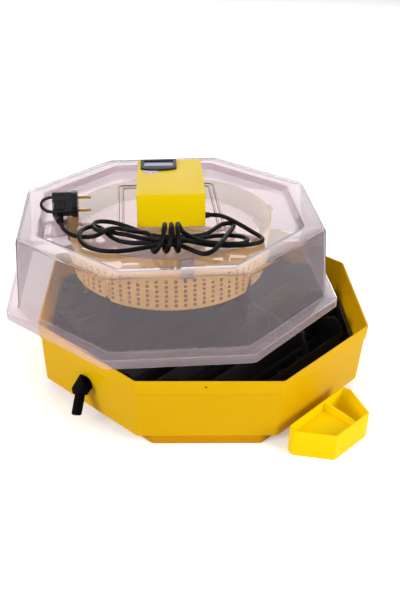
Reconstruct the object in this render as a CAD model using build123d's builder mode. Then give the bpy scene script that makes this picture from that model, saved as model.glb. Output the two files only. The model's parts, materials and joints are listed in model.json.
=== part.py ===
from build123d import *

import os
from math import cos, radians, sin, sqrt, tan

# A table-top egg incubator, millimetres, +Z up. The origin is the middle of the tub's underside,
# the tub's front flat faces -Y. The egg racks run at 45 degrees to the front, from the turning
# lever at the left-front wall to the right-back wall. The lid stands ajar, moved towards the
# left-back, and tips slightly that way, because only two places on the rim carry it.

os.makedirs("parts", exist_ok=True)

# ---- driving dimensions ------------------------------------------------------------------------
RIM_HALF = 240.0             # rim, middle to flat, the same for all eight sides
TUB_HEIGHT = 109.0
PLINTH_HEIGHT = 14.0         # narrower foot of the tub, set back under the four slanting flats
FLOOR_HALF = 232.0           # underside, middle to the front, back and side flats
FLOOR_SLANT = 217.0          # underside, middle to the four slanting flats
PLINTH_HALF, PLINTH_SLANT = 232.8, 218.2
BODY_HALF = 232.8            # lower edge above the plinth, the same for all eight sides
BAND_HEIGHT = 22.0           # thicker band round the rim
BAND_HALF = 238.6
BAND_STEP = 1.6
TUB_WALL = 3.0

ROW_COUNT = 7
ROW_PITCH = 56.0
ROW_LENGTHS = (116.0, 172.0, 213.0, 213.0, 213.0, 172.0, 116.0)   # half lengths, left to right
ROW_WIDTH = 47.5
RACK_WALL = 1.8
PIVOT_HEIGHT = 55.0
TILT = 29.0                  # racks lean this far either side of level
TROUGH_LOW, TROUGH_HIGH, END_HIGH = -26.0, 2.0, 28.0
CELL_PITCH = 50.0
PIN_RADIUS = 3.0
LINK_AT, LINK_RISE = 50.0, 24.0

FRAME_LOW, FRAME_HIGH = 40.0, 64.0
FRAME_HALF, FRAME_SLANT, FRAME_THICK = 229.0, 222.0, 3.5

LID_X, LID_Y, LID_Z = -47.9, 34.3, 108.7       # middle of the lid's lower edge
LID_TURN = 2.33
LID_LEAN = (-0.0281, 0.0139, 1.0)
LID_HEIGHT = 123.0
SKIRT_HALF, SKIRT_HEIGHT = 243.8, 14.2
WALL_LOW_HALF, WALL_TOP_HALF = 227.0, 220.3
LID_WALL = 2.5
PANEL_HEIGHT = 115.0
PANEL_HALF, RING_HALF = 184.5, 190.0
POCKET_STEP = 1.5

BASKET_RADIUS, BASKET_WALL = 154.0, 2.0
BASKET_LOW, BASKET_HIGH = 30.0, 112.5

BOX_X, BOX_Y, BOX_TURN = 3.0, 30.4, -2.0       # control box on the lid
BOX_WIDTH, BOX_DEPTH, BOX_HEIGHT, BOX_WALL = 100.0, 145.0, 51.0, 2.5
BOX_FLOOR = PANEL_HEIGHT - 2 * POCKET_STEP

CORD_RADIUS = 3.25
PLUG_Y, PLUG_HEIGHT, PLUG_RADIUS, PLUG_ROLL = 0.5, 135.3, 20.0, 28.0
PLUG_REAR, PLUG_FRONT = -173.0, -136.0

# ---- planes ------------------------------------------------------------------------------------
ALONG = Vector(1, 1, 0).normalized()           # along the racks, towards the right-back wall
ACROSS = Vector(1, -1, 0).normalized()         # from row to row, towards the right-front wall
UP = Vector(0, 0, 1)


def place(along, across, height):
    """A point from its distances along the rows and across them."""
    return ALONG * along + ACROSS * across + UP * height


def section(along, across, height=PIVOT_HEIGHT, tilt=0.0):
    """A plane that looks along the rows; its x points left across them, its y up, both tilted."""
    left = ACROSS * -cos(radians(tilt)) + UP * -sin(radians(tilt))
    return Plane(origin=place(along, across, height), x_dir=left, z_dir=ALONG)


turn = radians(LID_TURN)
lid_plane = Plane(origin=(LID_X, LID_Y, LID_Z), x_dir=(cos(turn), sin(turn), 0), z_dir=LID_LEAN)


def on_lid(x, y, height, turned=0.0):
    """A plane parallel to the lid, at a place measured in the lid's own directions."""
    angle = radians(turned)
    across = lid_plane.x_dir * cos(angle) + lid_plane.y_dir * sin(angle)
    return Plane(origin=lid_point(x, y, height), x_dir=across, z_dir=lid_plane.z_dir)


def lid_point(x, y, height):
    return lid_plane.from_local_coords(Vector(x, y, height))


box_plane = on_lid(BOX_X, BOX_Y, BOX_FLOOR, BOX_TURN)


# ---- shared shapes -----------------------------------------------------------------------------
def octagon(plane, half, slant):
    """An eight-sided outline: four flats half from the middle, four slanting ones slant from it."""
    end = sqrt(2) * slant - half
    corners = [(half, -end), (half, end), (end, half), (-end, half)]
    corners += [(-x, -y) for x, y in corners]
    with BuildSketch(plane) as outline:
        Polygon(*corners, align=None)
    return outline.sketch


def eight_sided(plane, low, high, bottom, top):
    """The solid between two eight-sided outlines, each given as (half, slant)."""
    with BuildPart() as body:
        loft([octagon(plane.offset(low), *bottom), octagon(plane.offset(high), *top)], ruled=True)
    return body.part


def smaller(size, by):
    return size[0] - by, size[1] - by


def save(piece, name):
    piece.part.label = name
    export_step(piece.part, f"parts/{name}.step")


def screws(planes, radius, length, head_radius, head_height):
    """One group of identical pan-head screws; each plane's z points from the head's seat out."""
    with BuildPart() as group:
        for plane in planes:
            with BuildSketch(plane):
                Circle(head_radius)
            extrude(amount=head_height)
            with BuildSketch(plane):
                Circle(radius)
            extrude(amount=-length)
    return group


# ---- tub ---------------------------------------------------------------------------------------
FOOT_RADIUS_FROM_MIDDLE = 214.0
foot_places = [(0, -FOOT_RADIUS_FROM_MIDDLE), (FOOT_RADIUS_FROM_MIDDLE, 0),
               (0, FOOT_RADIUS_FROM_MIDDLE), (-FOOT_RADIUS_FROM_MIDDLE, 0)]
SPOUT_PLACES = (-2.0, 14.0)
SPOUT_HEIGHT, SPOUT_RADIUS, SPOUT_REACH = 13.0, 4.0, 41.0
RIB_TOP, RIB_HALF = 14.0, 150.0
BUSH_RADIUS, SHAFT_RADIUS = 8.0, 5.0
LEDGE_TOP = PLINTH_HEIGHT + TUB_WALL
inside_floor = (229.4, 213.5)
body_low, body_high = (BODY_HALF, BODY_HALF), smaller((BAND_HALF, BAND_HALF), BAND_STEP)

with BuildPart() as base_tub:
    add(eight_sided(Plane.XY, 0, PLINTH_HEIGHT, (FLOOR_HALF, FLOOR_SLANT), (PLINTH_HALF, PLINTH_SLANT)))
    add(eight_sided(Plane.XY, PLINTH_HEIGHT, TUB_HEIGHT - BAND_HEIGHT, body_low, body_high))
    add(eight_sided(Plane.XY, TUB_HEIGHT - BAND_HEIGHT, TUB_HEIGHT, (BAND_HALF, BAND_HALF),
                    (RIM_HALF, RIM_HALF)))
    add(eight_sided(Plane.XY, TUB_WALL + 2.0, LEDGE_TOP, inside_floor, inside_floor),
        mode=Mode.SUBTRACT)
    add(eight_sided(Plane.XY, LEDGE_TOP, TUB_HEIGHT, smaller(body_low, TUB_WALL + 0.2),
                    smaller((RIM_HALF, RIM_HALF), TUB_WALL)), mode=Mode.SUBTRACT)
    # a low ring on the floor parts the inner water well from the outer one
    add(eight_sided(Plane.XY, TUB_WALL + 1.0, RIB_TOP, (RIB_HALF, RIB_HALF), (RIB_HALF, RIB_HALF)))
    add(eight_sided(Plane.XY, TUB_WALL + 2.0, RIB_TOP, smaller((RIB_HALF, RIB_HALF), 3.0),
                    smaller((RIB_HALF, RIB_HALF), 3.0)), mode=Mode.SUBTRACT)
    # screw bosses for the rack frame's feet
    with BuildSketch(Plane.XY.offset(TUB_WALL + 2.0)):
        with Locations(*foot_places):
            Circle(2.0)
    extrude(amount=-3.5, mode=Mode.SUBTRACT)
    # air hole in the front of the rim band
    with BuildSketch(Plane.XZ.offset(RIM_HALF + 5)):
        with Locations((-5.0, 100.0)):
            Circle(1.8)
    extrude(amount=-12, mode=Mode.SUBTRACT)
    # hole for the lever's bush, through the left-front wall
    with BuildSketch(section(-245, 0)):
        Circle(BUSH_RADIUS + 0.05)
    extrude(amount=25, mode=Mode.SUBTRACT)
    # two holes for the filling cup's spouts, through the right-front wall
    for along in SPOUT_PLACES:
        with BuildSketch(Plane(origin=place(along, 236, SPOUT_HEIGHT), z_dir=ACROSS)):
            Circle(SPOUT_RADIUS + 0.6)
        extrude(amount=-27, mode=Mode.SUBTRACT)
save(base_tub, "base_tub")

# ---- rack frame, its screws and the lever's bush -----------------------------------------------
frame_outer = (FRAME_HALF, FRAME_SLANT)
with BuildPart() as rack_frame:
    add(eight_sided(Plane.XY, FRAME_LOW, FRAME_HIGH, frame_outer, frame_outer))
    frame_inner = smaller(frame_outer, FRAME_THICK)
    add(eight_sided(Plane.XY, FRAME_LOW - 1, FRAME_HIGH + 1, frame_inner, frame_inner),
        mode=Mode.SUBTRACT)
    # four legs, each with a foot that is screwed to the tub's floor
    leg_reach = FRAME_HALF - FRAME_THICK / 2
    floor_top = TUB_WALL + 2.0
    with BuildSketch(Plane.XY.offset(floor_top + 3)):
        with Locations((0, -leg_reach), (0, leg_reach)):
            Rectangle(30, FRAME_THICK)
        with Locations((-leg_reach, 0), (leg_reach, 0)):
            Rectangle(FRAME_THICK, 30)
    extrude(amount=FRAME_LOW - floor_top - 3)
    with BuildSketch(Plane.XY.offset(floor_top)):
        with Locations((0, -leg_reach + 8), (0, leg_reach - 8)):
            Rectangle(30, 16 + FRAME_THICK)
        with Locations((-leg_reach + 8, 0), (leg_reach - 8, 0)):
            Rectangle(16 + FRAME_THICK, 30)
        with Locations(*foot_places):
            Circle(2.0, mode=Mode.SUBTRACT)
    extrude(amount=3)
    # bearing holes, one at each end of every row
    for row in range(ROW_COUNT):
        across = (row - ROW_COUNT // 2) * ROW_PITCH
        radius = PIN_RADIUS if across else SHAFT_RADIUS
        with BuildSketch(section(-235, across)):
            Circle(radius + 0.35)
        extrude(amount=470, mode=Mode.SUBTRACT)
save(rack_frame, "rack_frame")

frame_screws = screws([Plane(origin=(x, y, floor_top + 3), z_dir=(0, 0, 1)) for x, y in foot_places],
                      radius=1.95, length=6.2, head_radius=3.6, head_height=2.2)
save(frame_screws, "frame_screws")

with BuildPart() as lever_bush:
    with BuildSketch(section(-237.8, 0)):
        Circle(BUSH_RADIUS + 3)
    extrude(amount=1.8)
    with BuildSketch(section(-237.8, 0)):
        Circle(BUSH_RADIUS)
    extrude(amount=13.5)
    with BuildSketch(section(-237.8, 0)):
        Circle(SHAFT_RADIUS + 0.08)
    extrude(amount=13.5, mode=Mode.SUBTRACT)
save(lever_bush, "lever_bush")


# ---- egg racks ---------------------------------------------------------------------------------
def egg_rack(across, half):
    """One tilting trough with end plates, low dividers, a tab for the link bar and its pins."""
    middle = across == 0
    with BuildPart() as rack:
        with BuildSketch(section(-half, across, tilt=TILT)):
            with BuildLine():
                Polyline((-ROW_WIDTH / 2, TROUGH_LOW), (ROW_WIDTH / 2, TROUGH_LOW),
                         (ROW_WIDTH / 2, TROUGH_HIGH), (ROW_WIDTH / 2 - RACK_WALL, TROUGH_HIGH),
                         (ROW_WIDTH / 2 - RACK_WALL, TROUGH_LOW + RACK_WALL),
                         (-ROW_WIDTH / 2 + RACK_WALL, TROUGH_LOW + RACK_WALL),
                         (-ROW_WIDTH / 2 + RACK_WALL, TROUGH_HIGH), (-ROW_WIDTH / 2, TROUGH_HIGH),
                         close=True)
            make_face()
        extrude(amount=2 * half)
        plates = [-half, half - 2.0]
        for start in plates:
            with BuildSketch(section(start, across, tilt=TILT)):
                with BuildLine():
                    Polyline((-ROW_WIDTH / 2, TROUGH_LOW), (ROW_WIDTH / 2, TROUGH_LOW),
                             (ROW_WIDTH / 2, END_HIGH - 8), (ROW_WIDTH / 2 - 6, END_HIGH),
                             (-ROW_WIDTH / 2 + 6, END_HIGH), (-ROW_WIDTH / 2, END_HIGH - 8),
                             close=True)
                make_face()
            extrude(amount=2.0)
        # dividers stop the eggs sliding along the trough
        cells = int((half - 40) // CELL_PITCH)
        for cell in range(-cells, cells + 1):
            divider = section(cell * CELL_PITCH - 1, across, tilt=TILT)
            with BuildSketch(divider):
                with Locations((0, TROUGH_LOW + 9)):
                    Rectangle(ROW_WIDTH - 1, 18)
                if cell == 1:
                    with Locations((0, (LINK_RISE + TROUGH_LOW) / 2 + 3)):
                        Rectangle(12, LINK_RISE - TROUGH_LOW + 4)
            extrude(amount=2.0)
        # windows in the floor let the warm, damp air through
        bottom = section(0, across, tilt=TILT)
        floor_plane = Plane(origin=bottom.from_local_coords(Vector(0, TROUGH_LOW - 1, 0)),
                            x_dir=ALONG, z_dir=bottom.y_dir)
        with BuildSketch(floor_plane):
            for cell in range(-cells, cells):
                with Locations(((cell + 0.5) * CELL_PITCH, 0)):
                    SlotOverall(30, 14)
        extrude(amount=5, mode=Mode.SUBTRACT)
        # pivot pins reach through the frame
        for end, reach in ((-1, pin_reach(across)), (1, pin_reach(across))):
            with BuildSketch(section(end * half, across)):
                Circle(SHAFT_RADIUS if middle and end < 0 else PIN_RADIUS)
            extrude(amount=end * (reach - half))
        # link pin
        with BuildSketch(section(LINK_AT + 1, across, tilt=TILT)):
            with Locations((0, LINK_RISE)):
                Circle(2.5)
        extrude(amount=7)
    return rack


def pin_reach(across):
    """How far from the middle a row's pins end: just outside the frame's ring."""
    if abs(across) < FRAME_SLANT * 0.414:
        return FRAME_SLANT + 0.8
    return sqrt(2) * FRAME_HALF - abs(across) + 2.0


for row, half in enumerate(ROW_LENGTHS):
    save(egg_rack((row - ROW_COUNT // 2) * ROW_PITCH, half), f"egg_rack_{row + 1}")

# ---- link bar ----------------------------------------------------------------------------------
middle_pin = section(0, 0, tilt=TILT).from_local_coords(Vector(0, LINK_RISE, 0))
bar_plane = Plane(origin=middle_pin + ALONG * (LINK_AT + 2.5), x_dir=ACROSS * -1, z_dir=ALONG)
with BuildPart() as link_bar:
    with BuildSketch(bar_plane):
        SlotCenterToCenter((ROW_COUNT - 1) * ROW_PITCH, 11)
        with GridLocations(ROW_PITCH, 0, ROW_COUNT, 1):
            Circle(2.9, mode=Mode.SUBTRACT)
    extrude(amount=3.5)
save(link_bar, "link_bar")

# ---- turning lever, outside the left-front wall ------------------------------------------------
# an arrow that leans out from the wall, so that fingers get behind its handle
HUB_AT, HUB_LENGTH, SHAFT_IN_HUB = -238.0, 8.0, 7.0
ARROW_THICK, ARROW_BOTTOM, HANDLE_BOTTOM = 11.0, -12.0, -41.0
lever_left = section(0, 0, tilt=TILT).x_dir
lever_up = section(0, 0, tilt=TILT).y_dir * 0.80 + ALONG * 0.60
lever_plane = Plane(origin=place(HUB_AT - HUB_LENGTH, 0, PIVOT_HEIGHT), x_dir=lever_left,
                    z_dir=lever_left.cross(lever_up))

with BuildPart() as lever_shaft:
    with BuildSketch(section(-FRAME_SLANT - 0.8, 0)):
        Circle(SHAFT_RADIUS)
    extrude(amount=HUB_AT - SHAFT_IN_HUB + 0.2 + FRAME_SLANT + 0.8)
save(lever_shaft, "lever_shaft")

with BuildPart() as lever_hub:
    with BuildSketch(lever_plane.offset(-ARROW_THICK / 2)) as arrow_outline:
        Polygon((-10, ARROW_BOTTOM), (10, ARROW_BOTTOM), (16, -4), (0, 17), (-16, -4), align=None)
        fillet(arrow_outline.vertices(), radius=2.0)
    extrude(amount=ARROW_THICK)
    with BuildSketch(section(HUB_AT, 0)):
        Circle(9)
    extrude(amount=-HUB_LENGTH)
    split(bisect_by=section(HUB_AT, 0), keep=Keep.BOTTOM)
    with BuildSketch(section(HUB_AT, 0)):
        Circle(SHAFT_RADIUS + 0.02)
    extrude(amount=-SHAFT_IN_HUB, mode=Mode.SUBTRACT)
save(lever_hub, "lever_hub")

with BuildPart() as lever_handle:
    handle_root = lever_plane.from_local_coords(Vector(0, ARROW_BOTTOM, 0))
    with BuildSketch(Plane(origin=handle_root, x_dir=lever_left, z_dir=lever_up * -1)):
        RectangleRounded(17, 10, 4.5)
    extrude(amount=ARROW_BOTTOM - HANDLE_BOTTOM)
    handle_axis = Axis(origin=handle_root, direction=lever_up)
    fillet(lever_handle.faces().sort_by(handle_axis)[0].edges(), radius=3.0)
save(lever_handle, "lever_handle")

# ---- filling cup at the right-front wall -------------------------------------------------------
CUP_HEIGHT, CUP_WALL, CUP_FLOOR = 40.0, 2.5, 3.5
CUP_BACK = 250.0
CUP_OUTLINE = [(-95, CUP_BACK), (-101, 262), (-69, 310), (6, 312), (34, 262), (31, CUP_BACK)]
RIDGE_AT, RIDGE_THICK = -18.0, 4.0
SHELF_HEIGHT = 26.0          # floor of the shallow left well


def cup_outline(height, along_limit=None):
    """The cup's outline at a height, or only its part to the left of a limit along the wall."""
    with BuildSketch(Plane.XY.offset(height)) as outline:
        Polygon(*[(place(a, c, 0).X, place(a, c, 0).Y) for a, c in CUP_OUTLINE], align=None)
        fillet(outline.vertices(), radius=4.0)
        if along_limit is not None:
            kept = [(-150, 200), (-150, 350), (along_limit, 350), (along_limit, 200)]
            Polygon(*[(place(a, c, 0).X, place(a, c, 0).Y) for a, c in kept], align=None,
                    mode=Mode.INTERSECT)
    return outline.sketch


with BuildPart() as filler_cup:
    extrude(cup_outline(0.0), amount=CUP_HEIGHT)
    extrude(offset(cup_outline(CUP_FLOOR), amount=-CUP_WALL, mode=Mode.PRIVATE),
            amount=CUP_HEIGHT, mode=Mode.SUBTRACT)
    # the left well is shallow: its floor is raised, and a ridge parts it from the deep one
    extrude(cup_outline(0.0, RIDGE_AT), amount=SHELF_HEIGHT)
    extrude(offset(cup_outline(0.0, RIDGE_AT), amount=-CUP_WALL, mode=Mode.PRIVATE),
            amount=SHELF_HEIGHT - CUP_WALL, mode=Mode.SUBTRACT)
    ridge = Plane(origin=place(RIDGE_AT, CUP_BACK + 1, 0), x_dir=ACROSS * -1, z_dir=ALONG)
    with BuildSketch(ridge):
        Polygon((0, 1), (-59, 1), (-59, CUP_HEIGHT - 8), (0, CUP_HEIGHT - 1), align=None)
    extrude(amount=RIDGE_THICK)
    # two spouts lead through the tub's wall
    for along in SPOUT_PLACES:
        spout = Plane(origin=place(along, CUP_BACK + 1.0, SPOUT_HEIGHT), z_dir=ACROSS)
        with BuildSketch(spout):
            Circle(SPOUT_RADIUS)
        extrude(amount=-SPOUT_REACH)
        with BuildSketch(spout.offset(CUP_WALL + 1.0)):
            Circle(SPOUT_RADIUS - 1.4)
        extrude(amount=-SPOUT_REACH - CUP_WALL - 2.0, mode=Mode.SUBTRACT)
save(filler_cup, "filler_cup")

# ---- lid ---------------------------------------------------------------------------------------
POCKET = (-76.0, 76.0, -62.0, 120.0)           # left, right, front, back
INNER_POCKET = (-69.0, 69.0, -56.0, 114.0)


def rectangle(plane, sides, grow=0.0):
    left, right, front, back = sides
    with BuildSketch(plane) as outline:
        with Locations(((left + right) / 2, (front + back) / 2)):
            Rectangle(right - left + 2 * grow, back - front + 2 * grow)
    return outline.sketch


def regular(half):
    return half, half


box_corners = [(x, y) for x in (-43, 43) for y in (-66.5, 66.5)]

with BuildPart() as lid_shell:
    add(eight_sided(lid_plane, 0, SKIRT_HEIGHT, regular(SKIRT_HALF), regular(SKIRT_HALF)))
    add(eight_sided(lid_plane, SKIRT_HEIGHT, LID_HEIGHT, regular(WALL_LOW_HALF), regular(WALL_TOP_HALF)))
    skirt_inside = regular(SKIRT_HALF - LID_WALL)
    add(eight_sided(lid_plane, 0, SKIRT_HEIGHT - LID_WALL, skirt_inside, skirt_inside),
        mode=Mode.SUBTRACT)
    add(eight_sided(lid_plane, 0, LID_HEIGHT - LID_WALL, regular(WALL_LOW_HALF - LID_WALL),
                    regular(WALL_TOP_HALF - LID_WALL)), mode=Mode.SUBTRACT)
    # the sunken panel inside the top ring
    add(eight_sided(lid_plane, PANEL_HEIGHT - LID_WALL, LID_HEIGHT - 0.5,
                    regular(PANEL_HALF + LID_WALL), regular(RING_HALF + LID_WALL)))
    add(eight_sided(lid_plane, PANEL_HEIGHT, LID_HEIGHT, regular(PANEL_HALF), regular(RING_HALF)),
        mode=Mode.SUBTRACT)
    # the stepped pocket that the control box stands in
    for step, sides in enumerate((POCKET, INNER_POCKET)):
        floor = PANEL_HEIGHT - POCKET_STEP * (step + 1)
        extrude(rectangle(lid_plane.offset(floor - LID_WALL), sides, grow=LID_WALL),
                amount=POCKET_STEP)
        extrude(rectangle(lid_plane.offset(floor), sides), amount=POCKET_STEP + 0.5,
                mode=Mode.SUBTRACT)
    # wires and screws pass through the pocket's floor
    with BuildSketch(box_plane):
        Circle(7)
        with Locations(*box_corners):
            Circle(1.7)
    extrude(amount=-LID_WALL - 0.5, mode=Mode.SUBTRACT)
save(lid_shell, "lid_shell")

# ---- heater under the lid ----------------------------------------------------------------------
SLOT_COUNT, SLOT_LOW, SLOT_TALL = 36, 35.0, 38.0
CLIP_ANGLES = (-84.0, 6.0, 96.0, 186.0)

with BuildPart() as heater_basket:
    with BuildSketch(lid_plane.offset(BASKET_LOW)):
        Circle(BASKET_RADIUS)
    extrude(amount=BASKET_HIGH - BASKET_LOW)
    with BuildSketch(lid_plane.offset(BASKET_LOW + BASKET_WALL)):
        Circle(BASKET_RADIUS - BASKET_WALL)
    extrude(amount=BASKET_HIGH - BASKET_LOW, mode=Mode.SUBTRACT)
    with BuildSketch(lid_plane.offset(SLOT_LOW)):
        with PolarLocations(BASKET_RADIUS - 1, SLOT_COUNT):
            Rectangle(8, 4)
    extrude(amount=SLOT_TALL, mode=Mode.SUBTRACT)
    with BuildSketch(lid_plane.offset(BASKET_LOW)):
        for ring, count in ((40, 8), (75, 14), (110, 20)):
            with PolarLocations(ring, count):
                Circle(5)
        with PolarLocations(60, 4):
            Circle(2.2)
    extrude(amount=BASKET_WALL, mode=Mode.SUBTRACT)
save(heater_basket, "heater_basket")


def clip_place(angle):
    """A plane on the basket's side: x up, y round the side, z outwards."""
    outwards = lid_plane.x_dir * cos(radians(angle)) + lid_plane.y_dir * sin(radians(angle))
    origin = lid_point(0, 0, 0) + outwards * (BASKET_RADIUS + 0.3)
    return Plane(origin=origin, x_dir=lid_plane.z_dir, z_dir=outwards)


with BuildPart() as basket_clips:
    for angle in CLIP_ANGLES:
        side = clip_place(angle)
        with BuildSketch(side):
            with Locations(((80.0 + BASKET_HIGH) / 2, 0)):
                Rectangle(BASKET_HIGH - 80.0, 18)
        extrude(amount=2.5)
        with BuildSketch(side):
            with Locations((BASKET_HIGH - 1.25, 0)):
                Rectangle(2.5, 18)
        extrude(amount=6)
save(basket_clips, "basket_clips")

with BuildPart() as element_posts:
    with BuildSketch(lid_plane.offset(BASKET_LOW + BASKET_WALL)):
        with PolarLocations(60, 4):
            Circle(5)
    extrude(amount=52)
save(element_posts, "element_posts")

with BuildPart() as heating_element:
    ring = Plane(origin=lid_point(67.2, 0, 62), x_dir=lid_plane.x_dir, z_dir=lid_plane.y_dir)
    with BuildSketch(ring):
        Circle(2.2)
    revolve(axis=Axis(origin=lid_point(0, 0, 0), direction=lid_plane.z_dir), revolution_arc=360)
save(heating_element, "heating_element")

with BuildPart() as reflector_plate:
    with BuildSketch(lid_plane.offset(84.0)):
        Circle(138)
        Circle(16, mode=Mode.SUBTRACT)
    extrude(amount=1.0)
save(reflector_plate, "reflector_plate")

with BuildPart() as temperature_probe:
    with BuildSketch(on_lid(20, -120, BASKET_LOW + BASKET_WALL)):
        Circle(3)
    extrude(amount=40)
save(temperature_probe, "temperature_probe")

# ---- control box -------------------------------------------------------------------------------
SCREEN_X, SCREEN_Y, SCREEN_WIDTH, SCREEN_DEPTH = -17.0, 51.5, 45.0, 22.0
KEY_Y, KEY_PLACES, KEY_SIZE = 16.8, (-35.0, -24.0), 6.0
GLAND_Y, GLAND_HEIGHT, GLAND_LENGTH = -58.0, 11.5, 7.0
PAD_THICK = 0.8
box_top = box_plane.offset(BOX_HEIGHT)
box_side = Plane(origin=box_plane.from_local_coords(Vector(BOX_WIDTH / 2, GLAND_Y, GLAND_HEIGHT)),
                 x_dir=box_plane.y_dir, z_dir=box_plane.x_dir)

with BuildPart() as control_housing:
    with BuildSketch(box_plane):
        RectangleRounded(BOX_WIDTH, BOX_DEPTH, 3)
    extrude(amount=BOX_HEIGHT)
    with BuildSketch(box_plane):
        RectangleRounded(BOX_WIDTH - 2 * BOX_WALL, BOX_DEPTH - 2 * BOX_WALL, 1)
    extrude(amount=BOX_HEIGHT - BOX_WALL, mode=Mode.SUBTRACT)
    with BuildSketch(box_plane.offset(3.2)):
        with Locations(*box_corners):
            Circle(4)
    extrude(amount=BOX_HEIGHT - BOX_WALL - 3.2)
    with BuildSketch(box_plane):
        with Locations(*box_corners):
            Circle(1.6)
    extrude(amount=18, mode=Mode.SUBTRACT)
    with BuildSketch(box_top):
        with Locations((SCREEN_X, SCREEN_Y)):
            Rectangle(SCREEN_WIDTH + 2, SCREEN_DEPTH + 2)
        with Locations(*[(x, KEY_Y) for x in KEY_PLACES]):
            Rectangle(KEY_SIZE + 0.8, KEY_SIZE + 0.8)
    extrude(amount=-BOX_WALL - 0.5, mode=Mode.SUBTRACT)
    with BuildSketch(box_side):
        Circle(4.5)
    extrude(amount=-BOX_WALL - 1, mode=Mode.SUBTRACT)
save(control_housing, "control_housing")

with BuildPart() as control_base:
    with BuildSketch(box_plane):
        RectangleRounded(BOX_WIDTH - 2 * BOX_WALL - 0.6, BOX_DEPTH - 2 * BOX_WALL - 0.6, 1)
        Circle(7, mode=Mode.SUBTRACT)
        with Locations(*box_corners):
            Circle(1.7, mode=Mode.SUBTRACT)
    extrude(amount=3.0)
save(control_base, "control_base")

seats = [Plane(origin=box_plane.from_local_coords(Vector(x, y, -LID_WALL)), x_dir=box_plane.x_dir,
               z_dir=box_plane.z_dir * -1) for x, y in box_corners]
control_screws = screws(seats, radius=1.5, length=16, head_radius=3.2, head_height=2.2)
save(control_screws, "control_screws")

with BuildPart() as screen_bezel:
    half_width, rear, front = 27.8, 68.5, 29.5
    with BuildSketch(box_top):
        with BuildLine():
            Polyline((SCREEN_X - half_width, front), (SCREEN_X - half_width, rear),
                     (SCREEN_X + half_width, rear), (SCREEN_X + half_width, front))
            ThreePointArc((SCREEN_X + half_width, front), (SCREEN_X, front - 7),
                          (SCREEN_X - half_width, front))
        make_face()
        with Locations((SCREEN_X, SCREEN_Y)):
            Rectangle(SCREEN_WIDTH, SCREEN_DEPTH, mode=Mode.SUBTRACT)
    extrude(amount=2.5)
save(screen_bezel, "screen_bezel")

with BuildPart() as screen_glass:
    with BuildSketch(box_top.offset(-1.0)):
        with Locations((SCREEN_X, SCREEN_Y)):
            Rectangle(SCREEN_WIDTH - 0.2, SCREEN_DEPTH - 0.2)
    extrude(amount=2.0)
save(screen_glass, "screen_glass")

with BuildPart() as screen_module:
    with BuildSketch(box_top.offset(-12.0)):
        with Locations((SCREEN_X, SCREEN_Y)):
            Rectangle(SCREEN_WIDTH, SCREEN_DEPTH)
    extrude(amount=10.8)
save(screen_module, "screen_module")

with BuildPart() as key_pad:
    with BuildSketch(box_top):
        with Locations((sum(KEY_PLACES) / 2, KEY_Y)):
            RectangleRounded(22, 10, 1.5)
        with Locations(*[(x, KEY_Y) for x in KEY_PLACES]):
            Rectangle(KEY_SIZE + 0.8, KEY_SIZE + 0.8, mode=Mode.SUBTRACT)
    extrude(amount=PAD_THICK)
save(key_pad, "key_pad")

for name, x in zip(("key_less", "key_more"), KEY_PLACES):
    with BuildPart() as key:
        with BuildSketch(box_top.offset(PAD_THICK + 1.0)):
            with Locations((x, KEY_Y)):
                RectangleRounded(KEY_SIZE, KEY_SIZE, 1)
        extrude(amount=-7)
        with BuildSketch(box_top.offset(-BOX_WALL - 0.3)):
            with Locations((x, KEY_Y)):
                Rectangle(KEY_SIZE + 2.4, KEY_SIZE + 2.4)
        extrude(amount=-1.2)
    save(key, name)

with BuildPart() as circuit_board:
    with BuildSketch(box_plane.offset(30)):
        Rectangle(62, 100)
    extrude(amount=1.6)
save(circuit_board, "circuit_board")

with BuildPart() as board_parts:
    with BuildSketch(box_plane.offset(30)):
        with Locations((-12, -28)):
            Rectangle(30, 34)
        with Locations((18, 20)):
            Rectangle(16, 20)
        with Locations((-16, 18)):
            Circle(6)
    extrude(amount=-22)
save(board_parts, "board_parts")

# ---- mains cord and plug -----------------------------------------------------------------------
with BuildPart() as cable_gland:
    with BuildSketch(box_side):
        Circle(4.4)
    extrude(amount=-BOX_WALL)
    loft([Sketch() + Face(Wire(Edge.make_circle(5.0, box_side))),
          Sketch() + Face(Wire(Edge.make_circle(CORD_RADIUS + 1.0, box_side.offset(GLAND_LENGTH))))])
    with BuildSketch(box_side.offset(-BOX_WALL)):
        Circle(CORD_RADIUS)
    extrude(amount=BOX_WALL + GLAND_LENGTH, mode=Mode.SUBTRACT)
save(cable_gland, "cable_gland")


def cord_tube(points):
    """A cord along straight runs joined by arcs, each arc as large as its two runs allow."""
    runs = [b - a for a, b in zip(points, points[1:])]
    radii = []
    for before, after in zip(runs, runs[1:]):
        turned = radians(before.get_angle(after))
        radii.append(0.45 * min(before.length, after.length) / tan(turned / 2))
    with BuildPart() as tube:
        with BuildLine() as route:
            FilletPolyline(*points, radius=radii)
        with BuildSketch(Plane(origin=points[0], z_dir=runs[0])):
            Circle(CORD_RADIUS)
        sweep(path=route.line)
    length = sum(edge.length for edge in route.line.edges())
    expected = 3.14159 * CORD_RADIUS ** 2 * length
    print(f"cord tube {length:.0f} mm, radii {[round(r) for r in radii]},",
          f"volume {tube.part.volume / expected:.3f} of section times length")
    return tube


# the cord comes out of the gland, loops past the right of the hank and goes into it
LEAD_ROUTE = [(68, -30.4, 123.9), (79, -39, 124.4), (90, -57, 125), (103, -71, 122.2),
              (115, -86, 119.2), (125, -101, 118.7), (126, -114, 118.7), (114, -123, 118.7),
              (98, -126, 118.7)]
gland_end = box_side.offset(GLAND_LENGTH).origin
cord_lead = cord_tube([gland_end] + [lid_point(*p) for p in LEAD_ROUTE])
save(cord_lead, "cord_lead")

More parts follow.
